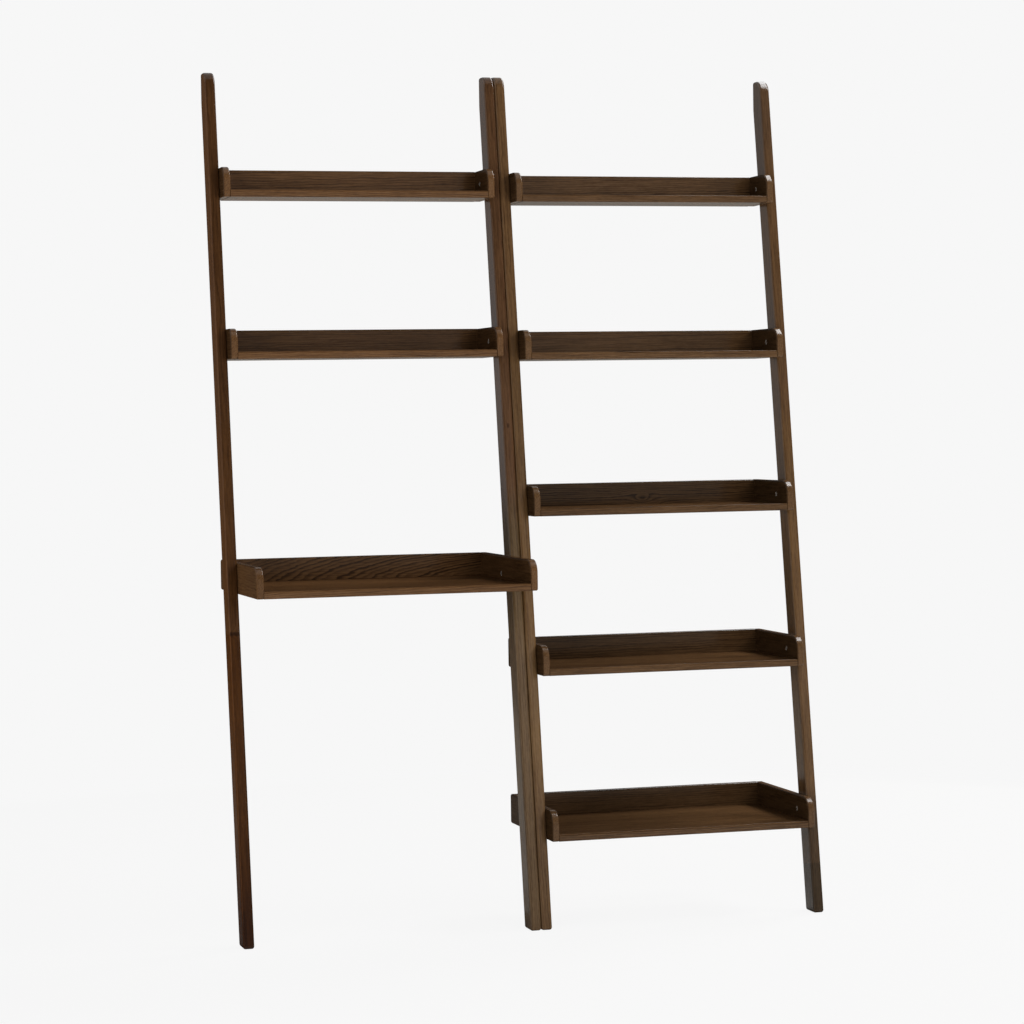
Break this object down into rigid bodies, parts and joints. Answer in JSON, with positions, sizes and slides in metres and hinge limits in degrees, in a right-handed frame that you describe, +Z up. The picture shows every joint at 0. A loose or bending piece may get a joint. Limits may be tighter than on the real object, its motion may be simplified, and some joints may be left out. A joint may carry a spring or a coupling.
{
  "type": "ladder desk",
  "caption": "Leaning ladder desk and bookcase set in dark stained wood: side-by-side bays of shallow trays on raked uprights, with a deep writing tray in one bay.",
  "frame": {"origin": "on the floor, midway between the two bays and midway between the front of the writing tray and the wall", "axes": "+Z up, +Y towards the wall, -Y towards the user, +X to the right as the user faces the wall"},
  "size_m": [1.3268, 0.4244, 1.9],
  "materials": {
    "stained_wood_upright": "walnut stain under satin lacquer",
    "stained_wood_tray": "walnut stain under satin lacquer",
    "bolt_steel": "zinc-plated",
    "insert_steel": "zinc-plated",
    "dowel_beech": "plain beech"
  },
  "bodies": {
    "root": {"case_dowels": "dowel_beech", "case_inserts": "insert_steel", "case_tray_1_board": "stained_wood_tray", "case_tray_1_bolts": "bolt_steel", "case_tray_1_cheek_left": "stained_wood_tray", "case_tray_1_cheek_right": "stained_wood_tray", "case_tray_1_rail": "stained_wood_tray", "case_tray_2_board": "stained_wood_tray", "case_tray_2_bolts": "bolt_steel", "case_tray_2_cheek_left": "stained_wood_tray", "case_tray_2_cheek_right": "stained_wood_tray", "case_tray_2_rail": "stained_wood_tray", "case_tray_3_board": "stained_wood_tray", "case_tray_3_bolts": "bolt_steel", "case_tray_3_cheek_left": "stained_wood_tray", "case_tray_3_cheek_right": "stained_wood_tray", "case_tray_3_rail": "stained_wood_tray", "case_tray_4_board": "stained_wood_tray", "case_tray_4_bolts": "bolt_steel", "case_tray_4_cheek_left": "stained_wood_tray", "case_tray_4_cheek_right": "stained_wood_tray", "case_tray_4_rail": "stained_wood_tray", "case_tray_5_board": "stained_wood_tray", "case_tray_5_bolts": "bolt_steel", "case_tray_5_cheek_left": "stained_wood_tray", "case_tray_5_cheek_right": "stained_wood_tray", "case_tray_5_rail": "stained_wood_tray", "case_upright_left": "stained_wood_upright", "case_upright_right": "stained_wood_upright", "desk_dowels": "dowel_beech", "desk_inserts": "insert_steel", "desk_middle_shelf_board": "stained_wood_tray", "desk_middle_shelf_bolts": "bolt_steel", "desk_middle_shelf_cheek_left": "stained_wood_tray", "desk_middle_shelf_cheek_right": "stained_wood_tray", "desk_middle_shelf_rail": "stained_wood_tray", "desk_top_shelf_board": "stained_wood_tray", "desk_top_shelf_bolts": "bolt_steel", "desk_top_shelf_cheek_left": "stained_wood_tray", "desk_top_shelf_cheek_right": "stained_wood_tray", "desk_top_shelf_rail": "stained_wood_tray", "desk_upright_left": "stained_wood_upright", "desk_upright_right": "stained_wood_upright", "desk_writing_tray_board": "stained_wood_tray", "desk_writing_tray_bolts": "bolt_steel", "desk_writing_tray_cheek_left": "stained_wood_tray", "desk_writing_tray_cheek_right": "stained_wood_tray", "desk_writing_tray_rail": "stained_wood_tray"}
  },
  "joints": []
}
